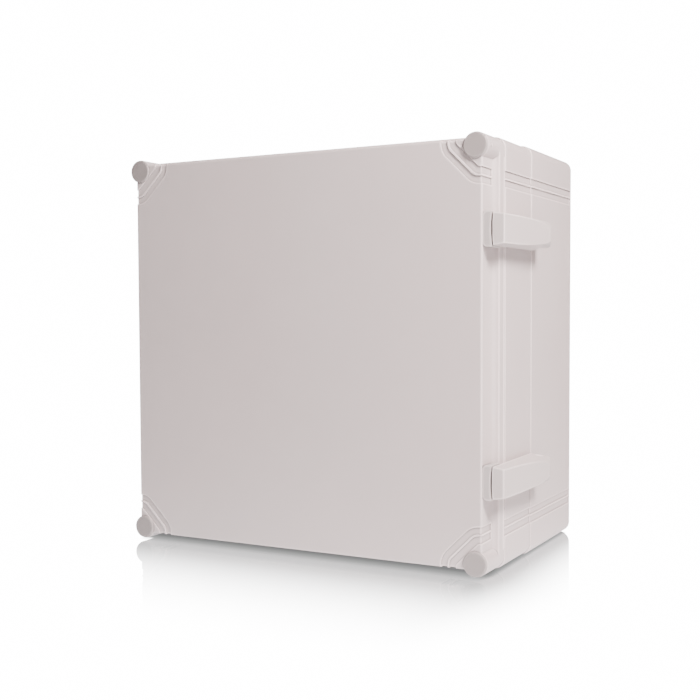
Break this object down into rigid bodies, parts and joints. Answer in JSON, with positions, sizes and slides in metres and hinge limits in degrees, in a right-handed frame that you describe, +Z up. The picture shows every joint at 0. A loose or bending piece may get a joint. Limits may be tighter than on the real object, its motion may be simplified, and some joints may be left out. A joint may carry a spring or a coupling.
{
  "type": "electrical junction box",
  "caption": "Square wall-mounted electrical junction box with a side-hinged screw-down cover, capped corner screws, seal, mounting plate, rail and screw terminals.",
  "frame": {"origin": "centre of the flat back face, the face that goes against the wall", "axes": "+Z up, +Y into the wall, so the cover faces -Y; the hinges are on the +X side"},
  "size_m": [0.2973, 0.1736, 0.2818],
  "materials": {
    "housing": "satin light grey moulded polycarbonate with a very fine texture",
    "hinge_plastic": "satin light grey moulded polyamide",
    "cap_plastic": "satin mid grey moulded plastic",
    "seal_rubber": "matt black foamed rubber",
    "screw_steel": "bright zinc-plated or stainless steel",
    "brass": "bright turned brass",
    "clamp_steel": "zinc-plated steel",
    "galvanised_sheet": "galvanised sheet steel, faint spangle",
    "terminal_grey": "matt grey polyamide",
    "earth_green": "matt green polyamide with a yellow band",
    "stop_plastic": "matt grey polyamide"
  },
  "bodies": {
    "base": {"base_box": "housing", "threaded_inserts": "brass", "hinge_lug_upper": "hinge_plastic", "hinge_lug_lower": "hinge_plastic", "hinge_lug_screws": "screw_steel", "mounting_plate": "galvanised_sheet", "mounting_plate_screws": "screw_steel", "mounting_rail": "galvanised_sheet", "mounting_rail_screws": "screw_steel", "line_terminal_1": "terminal_grey", "line_terminal_2": "terminal_grey", "line_terminal_3": "terminal_grey", "line_terminal_4": "terminal_grey", "line_terminal_5": "terminal_grey", "line_terminal_6": "terminal_grey", "earth_terminal": "earth_green", "current_bars": "brass", "clamp_screws": "clamp_steel", "end_stop_left": "stop_plastic", "end_stop_right": "stop_plastic"},
    "cover": {"cover": "housing", "cover_gasket": "seal_rubber", "hinge_block_upper": "housing", "hinge_block_lower": "housing", "hinge_arm_upper": "hinge_plastic", "hinge_arm_lower": "hinge_plastic", "hinge_pin_upper": "screw_steel", "hinge_pin_lower": "screw_steel", "hinge_arm_screws": "screw_steel"},
    "washer_top_right": {"sealing_washer_top_right": "seal_rubber"},
    "screw_top_right": {"cover_screw_top_right": "screw_steel"},
    "cap_top_right": {"screw_cap_top_right": "cap_plastic"},
    "washer_top_left": {"sealing_washer_top_left": "seal_rubber"},
    "screw_top_left": {"cover_screw_top_left": "screw_steel"},
    "cap_top_left": {"screw_cap_top_left": "cap_plastic"},
    "washer_bottom_left": {"sealing_washer_bottom_left": "seal_rubber"},
    "screw_bottom_left": {"cover_screw_bottom_left": "screw_steel"},
    "cap_bottom_left": {"screw_cap_bottom_left": "cap_plastic"},
    "washer_bottom_right": {"sealing_washer_bottom_right": "seal_rubber"},
    "screw_bottom_right": {"cover_screw_bottom_right": "screw_steel"},
    "cap_bottom_right": {"screw_cap_bottom_right": "cap_plastic"}
  },
  "joints": [
    {"name": "cover_swing", "type": "hinge", "parent": "base", "child": "cover", "pos_m": [0.1487, -0.099, 0], "axis": [0, 0, 1], "range_deg": [0, 105]},
    {"name": "screw_travel_top_right", "type": "slide", "parent": "cover", "child": "washer_top_right", "axis": [0, 1, 0], "range_m": [0, 0.007]},
    {"name": "screw_turn_top_right", "type": "hinge", "parent": "washer_top_right", "child": "screw_top_right", "pos_m": [0.13145, -0.166, 0.13145], "axis": [0, 1, 0], "range_deg": [0, 2521]},
    {"name": "cap_pull_top_right", "type": "slide", "parent": "cover", "child": "cap_top_right", "axis": [0, -1, 0], "range_m": [0, 0.01]},
    {"name": "screw_travel_top_left", "type": "slide", "parent": "cover", "child": "washer_top_left", "axis": [0, 1, 0], "range_m": [0, 0.007]},
    {"name": "screw_turn_top_left", "type": "hinge", "parent": "washer_top_left", "child": "screw_top_left", "pos_m": [-0.13145, -0.166, 0.13145], "axis": [0, 1, 0], "range_deg": [0, 2521]},
    {"name": "cap_pull_top_left", "type": "slide", "parent": "cover", "child": "cap_top_left", "axis": [0, -1, 0], "range_m": [0, 0.01]},
    {"name": "screw_travel_bottom_left", "type": "slide", "parent": "cover", "child": "washer_bottom_left", "axis": [0, 1, 0], "range_m": [0, 0.007]},
    {"name": "screw_turn_bottom_left", "type": "hinge", "parent": "washer_bottom_left", "child": "screw_bottom_left", "pos_m": [-0.13145, -0.166, -0.13145], "axis": [0, 1, 0], "range_deg": [0, 2521]},
    {"name": "cap_pull_bottom_left", "type": "slide", "parent": "cover", "child": "cap_bottom_left", "axis": [0, -1, 0], "range_m": [0, 0.01]},
    {"name": "screw_travel_bottom_right", "type": "slide", "parent": "cover", "child": "washer_bottom_right", "axis": [0, 1, 0], "range_m": [0, 0.007]},
    {"name": "screw_turn_bottom_right", "type": "hinge", "parent": "washer_bottom_right", "child": "screw_bottom_right", "pos_m": [0.13145, -0.166, -0.13145], "axis": [0, 1, 0], "range_deg": [0, 2521]},
    {"name": "cap_pull_bottom_right", "type": "slide", "parent": "cover", "child": "cap_bottom_right", "axis": [0, -1, 0], "range_m": [0, 0.01]}
  ],
  "couplings": [
    {"joint": "screw_turn_top_right", "follows": "screw_travel_top_right", "rad_per_m": 6283.2},
    {"joint": "screw_turn_top_left", "follows": "screw_travel_top_left", "rad_per_m": 6283.2},
    {"joint": "screw_turn_bottom_left", "follows": "screw_travel_bottom_left", "rad_per_m": 6283.2},
    {"joint": "screw_turn_bottom_right", "follows": "screw_travel_bottom_right", "rad_per_m": 6283.2}
  ]
}
